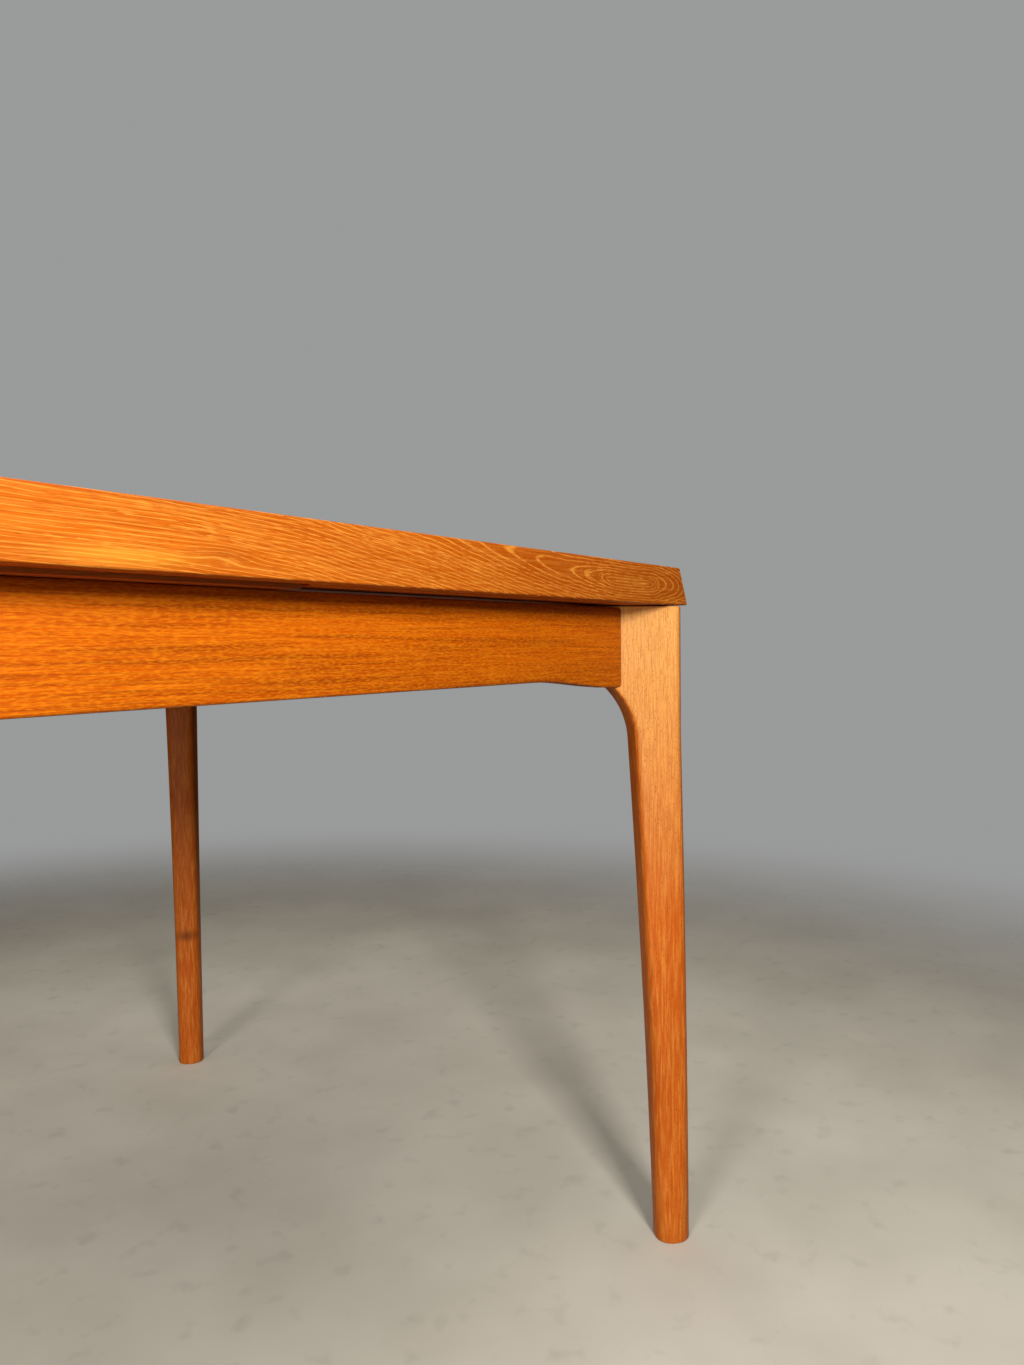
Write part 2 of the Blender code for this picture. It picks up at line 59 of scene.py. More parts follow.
camera_data = bpy.data.cameras.new("camera")
camera_data.lens = CAMERA_LENS
camera_data.sensor_width = CAMERA_SENSOR
camera_data.clip_start = CAMERA_NEAREST
camera = bpy.data.objects.new("camera", camera_data)
camera.location = CAMERA_PLACE
camera.rotation_euler = [math.radians(angle) for angle in CAMERA_TURN]
bpy.context.scene.collection.objects.link(camera)
bpy.context.scene.camera = camera
bpy.context.scene.view_settings.view_transform = "Standard"

# Studio. A pale, matt floor that fades into an even grey surround and throws no light back, so that the
# underside stays dark; a small soft lamp from the front left, a tall one along the front side, and a
# wide one overhead that fills the floor.
FLOOR_DARKER = "#CCC4B2"
FLOOR_LIGHTER = "#D7CFBD"
FLOOR_SCUFF = "#B3AC9B"
FLOOR_RADIUS = 4.0
FLOOR_THICKNESS = 0.02
FLOOR_CORNERS = 96
FLOOR_SOLID_UNTIL = 1.0
FLOOR_GONE_FROM = 3.0
SURROUND_COLOUR = "#9A9B9B"
SURROUND_FILL = "#2B241D"


def colour(code):
    """Linear RGBA of an sRGB hex value."""
    parts = np.array([int(code[i : i + 2], 16) for i in (1, 3, 5)]) / 255
    linear = np.where(parts <= 0.04045, parts / 12.92, ((parts + 0.055) / 1.055) ** 2.4)
    return (*linear.tolist(), 1.0)


def add_node(tree, kind, inputs=None, output=0, **settings):
    """A node with its settings, each input linked from a socket or set to a value. Gives an output."""
    node = tree.nodes.new(kind)
    for name, value in settings.items():
        setattr(node, name, value)
    for name, value in (inputs or {}).items():
        if isinstance(value, bpy.types.NodeSocket):
            tree.links.new(value, node.inputs[name])
        else:
            node.inputs[name].default_value = value
    return node.outputs[output]


def add_mesh(name, rings, material, sharp=35.0):
    """A closed surface through rings of points (rings, points, 3): quads between neighbouring rings and
    a cap on each end. The faces are turned outwards by the sign of the volume that they enclose."""
    count, around = rings.shape[:2]
    index = np.arange(count * around).reshape(count, around)
    turned = np.roll(index, -1, axis=1)
    quads = np.stack([index[:-1], turned[:-1], turned[1:], index[1:]], axis=-1).reshape(-1, 4)
    points = rings.reshape(-1, 3)
    a, b, c, d = (points[quads[:, i]] - points.mean(axis=0) for i in range(4))
    volume = np.einsum("ij,ij->i", np.cross(a, b) + np.cross(c, d), a + c).sum()
    faces = [*quads.tolist(), index[0][::-1].tolist(), index[-1].tolist()]
    if volume < 0:
        faces = [face[::-1] for face in faces]
    mesh = bpy.data.meshes.new(name)
    mesh.from_pydata(points.tolist(), [], faces)
    mesh.materials.append(material)
    mesh.shade_smooth()
    mesh.set_sharp_from_angle(angle=math.radians(sharp))
    piece = bpy.data.objects.new(name, mesh)
    bpy.context.scene.collection.objects.link(piece)
    return piece


def new_material(name, **values):
    """A material named for its finish, its shader's plain values set on their own sockets."""
    material = bpy.data.materials.new(name)
    material.use_nodes = True
    shader = material.node_tree.nodes["Principled BSDF"]
    for key, value in values.items():
        shader.inputs[key.replace("_", " ")].default_value = value
    return material, material.node_tree, shader


# Smooth trowelled concrete, sealed and matt, so it takes a soft shadow and no gloss. Its clouds are
# 200 mm wide, and its faint scuffs a little over 35 mm long.
FLOOR_ROUGHNESS = 0.8
FLOOR_CLOUD = 0.200
FLOOR_CLOUD_FROM, FLOOR_CLOUD_FULL = 0.35, 0.65
FLOOR_SCUFF_LENGTH = 1 / 28
FLOOR_SCUFF_FROM, FLOOR_SCUFF_FULL, FLOOR_SCUFF_SHARE = 0.58, 0.74, 0.4
material, tree, shader = new_material("matt_sealed_floor", Roughness=FLOOR_ROUGHNESS)
where = add_node(tree, "ShaderNodeTexCoord", output="Object")
clouds = add_node(tree, "ShaderNodeTexNoise", {"Vector": where, "Scale": 1 / FLOOR_CLOUD, "Detail": 6.0})
clouds = {0: clouds, 1: FLOOR_CLOUD_FROM, 2: FLOOR_CLOUD_FULL}
clouds = add_node(tree, "ShaderNodeMapRange", clouds)
tone = {0: clouds, 6: colour(FLOOR_DARKER), 7: colour(FLOOR_LIGHTER)}
tone = add_node(tree, "ShaderNodeMix", tone, 2, data_type="RGBA")
scuffs = {"Vector": where, "Scale": 1 / FLOOR_SCUFF_LENGTH, "Detail": 8.0}
scuffs = add_node(tree, "ShaderNodeTexNoise", scuffs)
scuffs = {0: scuffs, 1: FLOOR_SCUFF_FROM, 2: FLOOR_SCUFF_FULL, 3: 0.0, 4: FLOOR_SCUFF_SHARE}
scuffs = add_node(tree, "ShaderNodeMapRange", scuffs)
tone = {0: scuffs, 6: tone, 7: colour(FLOOR_SCUFF)}
tone = add_node(tree, "ShaderNodeMix", tone, 2, data_type="RGBA")
tree.links.new(tone, shader.inputs["Base Color"])
away = add_node(tree, "ShaderNodeVectorMath", {0: where}, "Value", operation="LENGTH")
fade = {0: away, 1: FLOOR_SOLID_UNTIL, 2: FLOOR_GONE_FROM, 3: 1.0, 4: 0.0}
fade = add_node(tree, "ShaderNodeMapRange", fade, interpolation_type="SMOOTHERSTEP")
tree.links.new(fade, shader.inputs["Alpha"])

turns = np.linspace(0, 2 * np.pi, FLOOR_CORNERS + 1)[:-1]
circle = np.stack([np.cos(turns), np.sin(turns), np.zeros_like(turns)], axis=-1) * FLOOR_RADIUS
floor = add_mesh("floor", np.stack([circle - (0, 0, FLOOR_THICKNESS), circle]), material)
floor.visible_diffuse = False

world = bpy.data.worlds.new("grey_surround")
bpy.context.scene.world = world
world.use_nodes = True
seen = add_node(world.node_tree, "ShaderNodeLightPath", output="Is Camera Ray")
shade = {0: seen, 6: colour(SURROUND_FILL), 7: colour(SURROUND_COLOUR)}
shade = add_node(world.node_tree, "ShaderNodeMix", shade, 2, data_type="RGBA")
world.node_tree.links.new(shade, world.node_tree.nodes["Background"].inputs["Color"])


def add_lamp(name, size, power, target, distance, heading, drop, aim, spread=180.0):
    """A soft lamp, so wide and so high in metres, and of this many watts. It stands back from its target
    by the distance, so that its light travels along the heading, in degrees from +X towards +Y, and
    falls by the drop for each metre. It faces its aim, and lights a cone as wide as the spread."""
    lamp = bpy.data.lights.new(name, "AREA")
    lamp.shape = "RECTANGLE"
    lamp.size, lamp.size_y = size
    lamp.energy = power
    lamp.spread = math.radians(spread)
    turn = math.radians(heading)
    travel = Vector((math.cos(turn), math.sin(turn), -drop)).normalized()
    holder = bpy.data.objects.new(name, lamp)
    holder.rotation_mode = "QUATERNION"
    holder.location = target - travel * distance
    holder.rotation_quaternion = (aim - holder.location).to_track_quat("-Z", "Y")
    bpy.context.scene.collection.objects.link(holder)


FRONT_RIGHT_CORNER = Vector((0.68, -0.43, 0.70))
FRONT_EDGE = Vector((0.15, -0.43, 0.60))
UNDER_TABLE = Vector((0.2, -0.1, 0.0))
STRAIGHT_DOWN = 1000.0
add_lamp("key_lamp", (0.35, 0.45), 19.6, FRONT_RIGHT_CORNER, 1.9, 46.0, 0.27, FRONT_EDGE, spread=130.0)
add_lamp("side_lamp", (0.50, 0.80), 40.0, FRONT_RIGHT_CORNER, 2.6, 7.0, 0.04, FRONT_RIGHT_CORNER)
add_lamp("overhead_lamp", (2.4, 2.4), 30.0, UNDER_TABLE, 2.4, 0.0, STRAIGHT_DOWN, UNDER_TABLE)


# Main top, lippings. Solid teak, 40 mm deep on the long sides with the outer face leaning inwards as it
# rises, glued to the panel; the end lippings are as thick as the panel. Oiled many times, so the grain
# stays open: pale strokes where the pores have filled, rubbed light along the arrises.
ARC_STEPS = 5
SMALLEST_CORNER = 0.05
LOWER_ARRIS = 0.0015
PLANED_ARRIS = 0.0006
LEAN = 0.006
LONG_SPANS = 80
END_SPANS = 60


def rounded_rings(along, low_u, high_u, low_v, high_v, corner):
    """Rounded rectangles in a plane (u, v), one for each value of along: four quarter circles joined by
    straight sides, as (along, u, v) in an array (rings, points, 3). Corner is a radius for each ring,
    or four for each ring, in the order (high u, high v), (low, high), (low, low), (high, low)."""
    along = np.asarray(along, float)
    quarter = np.linspace(0, np.pi / 2, ARC_STEPS + 1)
    angles = (quarter + np.arange(4)[:, None] * np.pi / 2).ravel()
    side_u = np.repeat([1, 0, 0, 1], ARC_STEPS + 1)
    side_v = np.repeat([1, 1, 0, 0], ARC_STEPS + 1)
    edges = (np.broadcast_to(edge, along.shape)[:, None] for edge in (low_u, high_u, low_v, high_v))
    low_u, high_u, low_v, high_v = edges
    corner = np.asarray(corner, float).reshape(len(along), -1)
    corner = np.repeat(np.broadcast_to(corner, (len(along), 4)), ARC_STEPS + 1, axis=1)
    u = np.where(side_u, high_u - corner, low_u + corner) + corner * np.cos(angles)
    v = np.where(side_v, high_v - corner, low_v + corner) + corner * np.sin(angles)
    return np.stack([np.broadcast_to(along[:, None], u.shape), u, v], axis=-1)


def rounded_box(low, high, radius, axis=0, spans=1):
    """A box with every edge rounded, as rings round one axis: at both ends the rounded rectangle is
    drawn in along a quarter circle, and the straight part between is cut into this many spans."""
    u, v = (i for i in range(3) if i != axis)
    quarter = np.linspace(0, np.pi / 2, ARC_STEPS + 1)
    run = radius * (1 - np.cos(quarter))
    draw = radius * (1 - np.sin(quarter))
    middle = np.linspace(low[axis] + radius, high[axis] - radius, spans + 1)[1:-1]
    along = np.concatenate([low[axis] + run, middle, high[axis] - run[::-1]])
    inset = np.concatenate([draw, np.zeros(len(middle)), draw[::-1]])
    corner = np.maximum(radius - inset, radius * SMALLEST_CORNER)
    edges = (low[u] + inset, high[u] - inset, low[v] + inset, high[v] - inset)
    rings = rounded_rings(along, *edges, corner)
    placed = np.empty_like(rings)
    placed[..., [axis, u, v]] = rings
    return placed


def fit(piece, body, slot, *nodes):
    """The piece moves with its body and stands for these nodes. The slot is not used."""
    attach(piece, body)
    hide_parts(*nodes)
    return piece


# Length along the grain and width across it, in metres, of each pattern in the wood, its detail, and the
# levels of its noise between which it comes up. The first set follows the growth rings, the second runs
# straight. A real pore is 0.2 mm wide and a fibre finer; both are drawn coarser so that they show.
FOLLOWING = {
    "jitter": (0.100, 0.0110, 3.0, 0.0, 1.0),
    "cloud": (0.450, 0.0260, 3.0, 0.42, 0.62),
    "patch": (0.110, 0.0100, 2.0, 0.44, 0.60),
    "stroke": (0.013, 0.0009, 2.0, 0.53, 0.62),
    "vein": (0.260, 0.0019, 3.0, 0.50, 0.62),
}
STRAIGHT = {
    "fibre": (0.060, 0.0014, 4.0, 0.44, 0.64),
    "thread": (0.022, 0.0007, 2.0, 0.50, 0.36),
    "torn": (0.014, 0.0012, 2.0, 0.35, 0.51),
    "curl": (0.0052, 0.0009, 2.0, 0.46, 0.60),
}
# Waves of the pith for each metre: its drift is 0.33 m long and 60 mm wide, its swing 0.43 m long.
DRIFT_WAVES, DRIFT_DETAIL = (3.0, 16.0, 16.0), 2.0
SWING_WAVES, SWING_DETAIL = (2.3, 0.0, 0.0), 1.0
MIDDLE_OF_NOISE = (0.5, 0.5, 0.5)
# In leaves of veneer: the half puts the middle of one leaf on the middle line of the table.
BOOK_SHIFT = 20.5
# In rings: how far a ring strays, and half the width of its late wood. In metres: the length and width
# that each pore has to itself. Then the rim and the hollow of a pore, as shares of that.
USUAL_JITTER = 2.2
USUAL_LATE_WOOD = 0.16
USUAL_PORE = (0.009, 0.0009)
PORE_EDGE, PORE_HOLLOW = 0.34, 0.16
LATE_FOLD, EARLY_FOLD, LATE_PORES = 0.42, 0.05, 0.15
# Pointiness at which an arris starts to show its wear, and how squarely a broad face looks one way.
ARRIS_FROM, ARRIS_FULL = 0.53, 0.62
FACE_FROM, FACE_FULL = 0.55, 0.95
PORE_DEPTH = -2.0
RELIEF_HEIGHT, RELIEF_STRENGTH = 0.0001, 0.6
# Oil soaks in and leaves little shine: a low specular level, and the roughness of an eggshell.
OIL_IOR, OIL_SPECULAR = 1.45, 0.2
OILED = (0.40, 0.55)


def wood(name, tones, cut, turn, pith, seed, curve=None, spots=(), gloss=OILED):
    """Wood, oiled or planed, as a pattern in space with the grain along the turned X axis. Growth rings
    are cylinders round a pith, straight or along a curve: ring number = distance from the pith / ring
    width + noise, and the late wood of each ring is its line. The other layers are noises stretched
    along the grain, each mixed over the body tone by its share of the cut. A book cut is mirrored at
    each leaf of veneer. The pith is its place across the turned grain, and the seed picks the board.
    The gloss is the roughness of the smoothest and the roughest fibre."""
    material, tree, shader = new_material(name, IOR=OIL_IOR, Specular_IOR_Level=OIL_SPECULAR)
    where = add_node(tree, "ShaderNodeTexCoord", output="Object")
    grain = add_node(tree, "ShaderNodeMapping", {"Vector": where, "Rotation": turn})
    parts = add_node(tree, "ShaderNodeSeparateXYZ", {0: grain}).node.outputs
    along, across, depth = parts
    if cut.get("book"):
        shifted = {0: across, 1: cut["book"] * BOOK_SHIFT}
        shifted = add_node(tree, "ShaderNodeMath", shifted, operation="ADD")
        across = add_node(tree, "ShaderNodeMath", {0: shifted, 1: cut["book"]}, operation="PINGPONG")
    if curve:
        first, last = curve[0][0], curve[-1][0]
        share = add_node(tree, "ShaderNodeMapRange", {0: along, 1: first, 2: last})
        bent = []
        for k in (1, 2):
            levels = [row[k] for row in curve]
            low, reach = min(levels), max(levels) - min(levels)
            line = add_node(tree, "ShaderNodeFloatCurve", {"Value": share})
            points = line.node.mapping.curves[0].points
            for row in curve[1:-1]:
                points.new((row[0] - first) / (last - first), (row[k] - low) / reach)
            points[0].location = (0.0, (levels[0] - low) / reach)
            points[-1].location = (1.0, (levels[-1] - low) / reach)
            line.node.mapping.update()
            line = {0: line, 1: reach, 2: low}
            bent.append(add_node(tree, "ShaderNodeMath", line, operation="MULTIPLY_ADD"))
        pith = bent
    across = add_node(tree, "ShaderNodeMath", {0: across, 1: pith[0]}, operation="SUBTRACT")
    depth = add_node(tree, "ShaderNodeMath", {0: depth, 1: pith[1]}, operation="SUBTRACT")

    # The pith wanders by the drift within the width of a board, and by the swing along its length.
    drift = (DRIFT_WAVES, DRIFT_DETAIL, cut["drift"])
    swing = (SWING_WAVES, SWING_DETAIL, cut.get("swing", 0.0))
    for waves, detail, amount in (drift, swing):
        spread = add_node(tree, "ShaderNodeVectorMath", {0: grain, 1: waves}, operation="MULTIPLY")
        wander = {"Vector": spread, "W": seed, "Scale": 1.0, "Detail": detail}
        wander = add_node(tree, "ShaderNodeTexNoise", wander, "Color", noise_dimensions="4D")
        wander = {0: wander, 1: MIDDLE_OF_NOISE}
        wander = add_node(tree, "ShaderNodeVectorMath", wander, operation="SUBTRACT")
        wander = add_node(tree, "ShaderNodeVectorMath", {0: wander, "Scale": amount}, operation="SCALE")
        offset = add_node(tree, "ShaderNodeSeparateXYZ", {0: wander}).node.outputs
        across = add_node(tree, "ShaderNodeMath", {0: across, 1: offset[0]}, operation="ADD")
        depth = add_node(tree, "ShaderNodeMath", {0: depth, 1: offset[1]}, operation="ADD")
    radius = add_node(tree, "ShaderNodeCombineXYZ", {"Y": across, "Z": depth})
    radius = add_node(tree, "ShaderNodeVectorMath", {0: radius}, "Value", operation="LENGTH")

    # A spot is a knot or a patch: place, size along and across the grain, tint, its share, and push. It
    # is an oval that fades to its rim, and it adds its push to the distance from the pith.
    marks = []
    for place, side, level, length, width, tint, strength, push in spots:
        apart = {0: grain, 1: (place, side, level)}
        apart = add_node(tree, "ShaderNodeVectorMath", apart, operation="SUBTRACT")
        apart = {0: apart, 1: (1 / length, 1 / width, 1 / width)}
        apart = add_node(tree, "ShaderNodeVectorMath", apart, operation="MULTIPLY")
        apart = add_node(tree, "ShaderNodeVectorMath", {0: apart}, "Value", operation="LENGTH")
        near = {0: apart, 1: 1.0, 2: 0.0}
        near = add_node(tree, "ShaderNodeMapRange", near, interpolation_type="SMOOTHSTEP")
        radius = add_node(tree, "ShaderNodeMath", {0: near, 1: push, 2: radius}, operation="MULTIPLY_ADD")
        marks.append((near, tint, strength))

    flow = add_node(tree, "ShaderNodeCombineXYZ", {"X": along, "Y": radius})
    masks, raw = {}, {}
    for layers, base in ((FOLLOWING, flow), (STRAIGHT, grain)):
        for layer, (length, width, detail, low, high) in layers.items():
            width = width * cut.get("coarse", 1.0)
            length = length * cut.get("short", 1.0)
            spread = {0: base, 1: (1 / length, 1 / width, 1 / width)}
            spread = add_node(tree, "ShaderNodeVectorMath", spread, operation="MULTIPLY")
            level = {"Vector": spread, "W": seed, "Scale": 1.0, "Detail": detail}
            raw[layer] = add_node(tree, "ShaderNodeTexNoise", level, noise_dimensions="4D")
            level = {0: raw[layer], 1: low, 2: high}
            masks[layer] = add_node(tree, "ShaderNodeMapRange", level)
    count = add_node(tree, "ShaderNodeMath", {0: radius, 1: 1 / cut["ring"]}, operation="MULTIPLY")
    count = {0: raw["jitter"], 1: cut.get("jitter", USUAL_JITTER), 2: count}
    count = add_node(tree, "ShaderNodeMath", count, operation="MULTIPLY_ADD")
    fold = add_node(tree, "ShaderNodeMath", {0: count, 1: 0.5}, operation="PINGPONG")
    late = {0: fold, 1: 0.5 - cut.get("thin", USUAL_LATE_WOOD), 2: 0.5}
    late = add_node(tree, "ShaderNodeMapRange", late, interpolation_type="SMOOTHSTEP")
    masks["line"] = add_node(tree, "ShaderNodeMath", {0: late, 1: masks["torn"]}, operation="MULTIPLY")
    whole = add_node(tree, "ShaderNodeMath", {0: count}, operation="FLOOR")
    masks["band"] = add_node(tree, "ShaderNodeTexWhiteNoise", {"W": whole}, noise_dimensions="1D")
    strokes = {0: masks["stroke"], 1: masks["patch"]}
    masks["stroke"] = add_node(tree, "ShaderNodeMath", strokes, operation="MULTIPLY")
    cell = cut.get("pore_size", USUAL_PORE)
    spread = {0: grain, 1: (1 / cell[0], 1 / cell[1], 1 / cell[1])}
    spread = add_node(tree, "ShaderNodeVectorMath", spread, operation="MULTIPLY")
    cells = add_node(tree, "ShaderNodeTexVoronoi", {"Vector": spread, "Scale": 1.0}, "Distance")
    hole = add_node(tree, "ShaderNodeMapRange", {0: cells, 1: PORE_EDGE, 2: PORE_HOLLOW})
    early = {0: fold, 1: LATE_FOLD, 2: EARLY_FOLD, 3: LATE_PORES, 4: 1.0}
    early = add_node(tree, "ShaderNodeMapRange", early)
    masks["pore"] = add_node(tree, "ShaderNodeMath", {0: hole, 1: early}, operation="MULTIPLY")
    worn = add_node(tree, "ShaderNodeNewGeometry", output="Pointiness")
    masks["worn"] = add_node(tree, "ShaderNodeMapRange", {0: worn, 1: ARRIS_FROM, 2: ARRIS_FULL})
    if cut.get("tide"):
        tide = {0: along, 1: cut["tide"][0], 2: cut["tide"][1]}
        masks["tide"] = add_node(tree, "ShaderNodeMapRange", tide)
    # Facing keeps the tide to faces turned one way; on the front right leg this carries painted sheen.
    if cut.get("facing"):
        facing = {0: add_node(tree, "ShaderNodeNewGeometry", output="Normal"), 1: cut["facing"]}
        facing = add_node(tree, "ShaderNodeVectorMath", facing, "Value", operation="DOT_PRODUCT")
        facing = {0: facing, 1: FACE_FROM, 2: FACE_FULL}
        facing = {0: masks["tide"], 1: add_node(tree, "ShaderNodeMapRange", facing)}
        masks["tide"] = add_node(tree, "ShaderNodeMath", facing, operation="MULTIPLY")

    tone = colour(tones["body"])
    layers = [(masks[layer], tones[tint], share) for layer, tint, share in cut["mix"]]
    for mask, tint, share in layers + marks:
        amount = add_node(tree, "ShaderNodeMath", {0: mask, 1: share}, operation="MULTIPLY")
        tone = {0: amount, 6: tone, 7: colour(tint)}
        tone = add_node(tree, "ShaderNodeMix", tone, 2, data_type="RGBA")
    tree.links.new(tone, shader.inputs["Base Color"])

    rough = add_node(tree, "ShaderNodeMapRange", {0: raw["fibre"], 3: gloss[0], 4: gloss[1]})
    tree.links.new(rough, shader.inputs["Roughness"])
    height = {0: masks["pore"], 1: PORE_DEPTH, 2: masks["fibre"]}
    height = add_node(tree, "ShaderNodeMath", height, operation="MULTIPLY_ADD")
    height = {0: masks["curl"], 1: cut.get("relief", 0.0), 2: height}
    height = add_node(tree, "ShaderNodeMath", height, operation="MULTIPLY_ADD")
    relief = {"Height": height, "Distance": RELIEF_HEIGHT, "Strength": RELIEF_STRENGTH}
    relief = add_node(tree, "ShaderNodeBump", relief)
    tree.links.new(relief, shader.inputs["Normal"])
    return material


# Where the pith runs behind the front lipping: place along the table, its height, and its distance
# behind the face. It comes down through the upper edge and meets the face in an eye near the right end.
FRONT_PITH = (
    (-0.681, 0.782, 0.024),
    (-0.300, 0.776, 0.020),
    (-0.050, 0.776, 0.020),
    (0.060, 0.770, 0.026),
    (0.200, 0.749, 0.030),
    (0.300, 0.733, 0.026),
    (0.400, 0.719, 0.018),
    (0.500, 0.7105, 0.009),
    (0.555, 0.7093, 0.002),
    (0.620, 0.7090, 0.012),
    (0.681, 0.7070, 0.022),
)
# Oiled teak is orange brown with a dull gleam; the tide is the brown that comes up towards the right, partly
# the wood's own browner end and partly painted shade where the lamp's light falls off along the front.
LIPPING_TONES = dict(body="#CE660A", deep="#A44603", brown="#883400", pale="#EC9C3A", pore="#6A2A02")
LIPPING_CUT = dict(
    ring=0.0026,
    drift=0.006,
    swing=0.04,
    mix=(
        ("cloud", "deep", 0.60),
        ("band", "deep", 0.30),
        ("vein", "deep", 0.45),
        ("fibre", "pale", 0.25),
        ("thread", "deep", 0.40),
        ("line", "pale", 0.50),
        ("stroke", "pale", 0.45),
        ("pore", "pore", 0.25),
        ("worn", "pale", 0.35),
    ),
)
FRONT_CUT = dict(
    LIPPING_CUT,
    swing=0.0,
    drift=0.004,
    jitter=2.2,
    # The tide is partly the wood's browner right end and partly painted shade for the lamp's light falling
    # off.
    tide=(-0.10, 0.45),
    mix=(("tide", "brown", 0.60), *LIPPING_CUT["mix"], ("line", "pale", 0.30)),
)
# A honey-coloured patch low on the face, a small knot beside it that turns the rings aside, and the dark
# heart of the eye. The first three numbers are the place along the table, minus the height, and the
# place across the table.
FRONT_SPOTS = (
    (0.004, -0.6975, -0.432, 0.070, 0.0080, "#FFB63A", 0.40, 0.0),
    (0.068, -0.7030, -0.432, 0.036, 0.0090, "#8A3A06", 0.35, 0.005),
    (0.555, -0.7093, -0.431, 0.020, 0.0050, "#7A3004", 0.40, 0.0),
)
ON_EDGE = (math.pi / 2, 0, 0)
ACROSS = (0, 0, math.pi / 2)

top_low, top_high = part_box("top_lipping_front")
outer_y, inner_y = top_low.y, top_high.y
lipping_depth = top_high.z - top_low.z
panel_low, panel_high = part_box("top_panel")

for side, sign in (("front", 1), ("back", -1)):
    low, high = (top_low.x, outer_y, top_low.z), (top_high.x, inner_y, top_high.z)
    rings = rounded_box(low, high, LOWER_ARRIS, spans=LONG_SPANS)
    rise = (rings[..., 2] - top_low.z) / lipping_depth
    outward = (inner_y - rings[..., 1]) / (inner_y - outer_y)
    rings[..., 1] += LEAN * rise * outward
    rings[..., 0] *= 1 - LEAN * rise / top_high.x
    rings[..., 1] *= sign
    if side == "front":
        curve = [(x, -height, outer_y + behind) for x, height, behind in FRONT_PITH]
        name = "oiled_teak_front_lipping"
        paint = wood(name, LIPPING_TONES, FRONT_CUT, ON_EDGE, None, 1.0, curve, FRONT_SPOTS)
    else:
        name = "oiled_teak_back_lipping"
        paint = wood(name, LIPPING_TONES, LIPPING_CUT, ON_EDGE, (-0.70, 0.44), 21.0)
    node = f"top_lipping_{side}"
    fit(add_mesh(f"teak_{node}", rings, paint), "top", "teak_lipping", node)


def lean_in(rings, low, high, sign):
    """The outer face of a lipping across the table leans inwards by the same slope as the long ones."""
    rise = (rings[..., 2] - low.z) / lipping_depth
    inner_x = low.x if sign > 0 else high.x
    rings[..., 0] -= (rings[..., 0] - inner_x) / (high.x - low.x) * rise * LEAN
    return rings


for end, sign in (("right", 1), ("left", -1)):
    node = f"top_lipping_{end}"
    low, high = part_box(node)
    rings = rounded_box(low, high, LOWER_ARRIS, axis=1, spans=END_SPANS)
    rings = lean_in(rings, low, high, sign)
    name = f"oiled_teak_{end}_end"
    paint = wood(name, LIPPING_TONES, LIPPING_CUT, ACROSS, (sign * 0.66, 0.70), 31.0 + sign)
    fit(add_mesh(f"teak_{node}", rings, paint), "top", "teak_lipping", node)

# Main top, panel. Blockboard with bookmatched, crown-cut teak veneer on both faces, the leaves of the
# veneer 140 mm wide and laid along the table, so that the arches of the grain stand side by side.
# Sliced teak, an even brown orange, with tall arches of darker late wood.
PANEL_TONES = dict(body="#C9651A", deep="#9C4712", line="#7A340C", pale="#E08E45", pore="#5E2807")
PANEL_CUT = dict(
    ring=0.0042,
    drift=0.010,
    swing=0.11,
    book=0.140,
    thin=0.22,
    mix=(
        ("cloud", "deep", 0.45),
        ("band", "deep", 0.40),
        ("vein", "deep", 0.35),
        ("fibre", "pale", 0.25),
        ("thread", "deep", 0.30),
        ("line", "line", 0.60),
        ("pore", "pore", 0.45),
        ("worn", "pale", 0.35),
    ),
)
paint = wood("oiled_teak_veneer_top", PANEL_TONES, PANEL_CUT, (0, 0, 0), (0.07, 0.685), 11.0)
rings = rounded_box(panel_low, panel_high, PLANED_ARRIS)
fit(add_mesh("teak_top_panel", rings, paint), "top", "teak_face", "top_panel")

# Dowels of the main top. Turned beech pins that drop into the centre board and keep the loose top in
# its place; their lower ends are pointed so that they find the holes.
# Planed beech without a finish: pale, dry and pinkish, with short dark flecks.
BEECH_TONES = dict(body="#C79A66", deep="#B08050", line="#9C6A3A", pale="#D9B384", pore="#8B5A2B")
BEECH_CUT = dict(
    ring=0.0028,
    drift=0.004,
    swing=0.03,
    mix=(
        ("cloud", "deep", 0.50),
        ("line", "line", 0.35),
        ("fibre", "pale", 0.25),
        ("stroke", "line", 0.45),
        ("pore", "pore", 0.30),
    ),
)
UNFINISHED = (0.55, 0.70)
UPRIGHT = (0, math.pi / 2, 0)
DOWEL_POINT = ((-0.0030, 0.0), (-0.0024, 0.0003), (-0.0003, 0.0036), (0.0, 0.0044))


def turned(axis_place, radii, heights, around=48):
    """A round piece: circles of these radii at these heights round a vertical axis."""
    angles = np.linspace(0, 2 * np.pi, around + 1)[:-1]
    radii, heights = np.array(radii)[:, None], np.array(heights)[:, None]
    x = axis_place[0] + radii * np.cos(angles)
    y = axis_place[1] + radii * np.sin(angles)
    return np.stack([x, y, np.broadcast_to(heights, x.shape)], axis=-1)


for side in ("front", "back"):
    node = f"top_dowel_{side}"
    low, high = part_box(node)
    centre = (low + high) / 2
    radii = [(high.x - low.x) / 2 + change for change, _ in DOWEL_POINT]
    heights = [low.z + lift for _, lift in DOWEL_POINT]
    rings = turned(centre, [*radii, radii[-1], radii[-1]], [*heights, centre.z, high.z])
    paint = wood(f"beech_dowel_{side}", BEECH_TONES, BEECH_CUT, UPRIGHT, (0.12, 0.2), 3.0, gloss=UNFINISHED)
    fit(add_mesh(f"beech_{node}", rings, paint), "top", "beech", node)

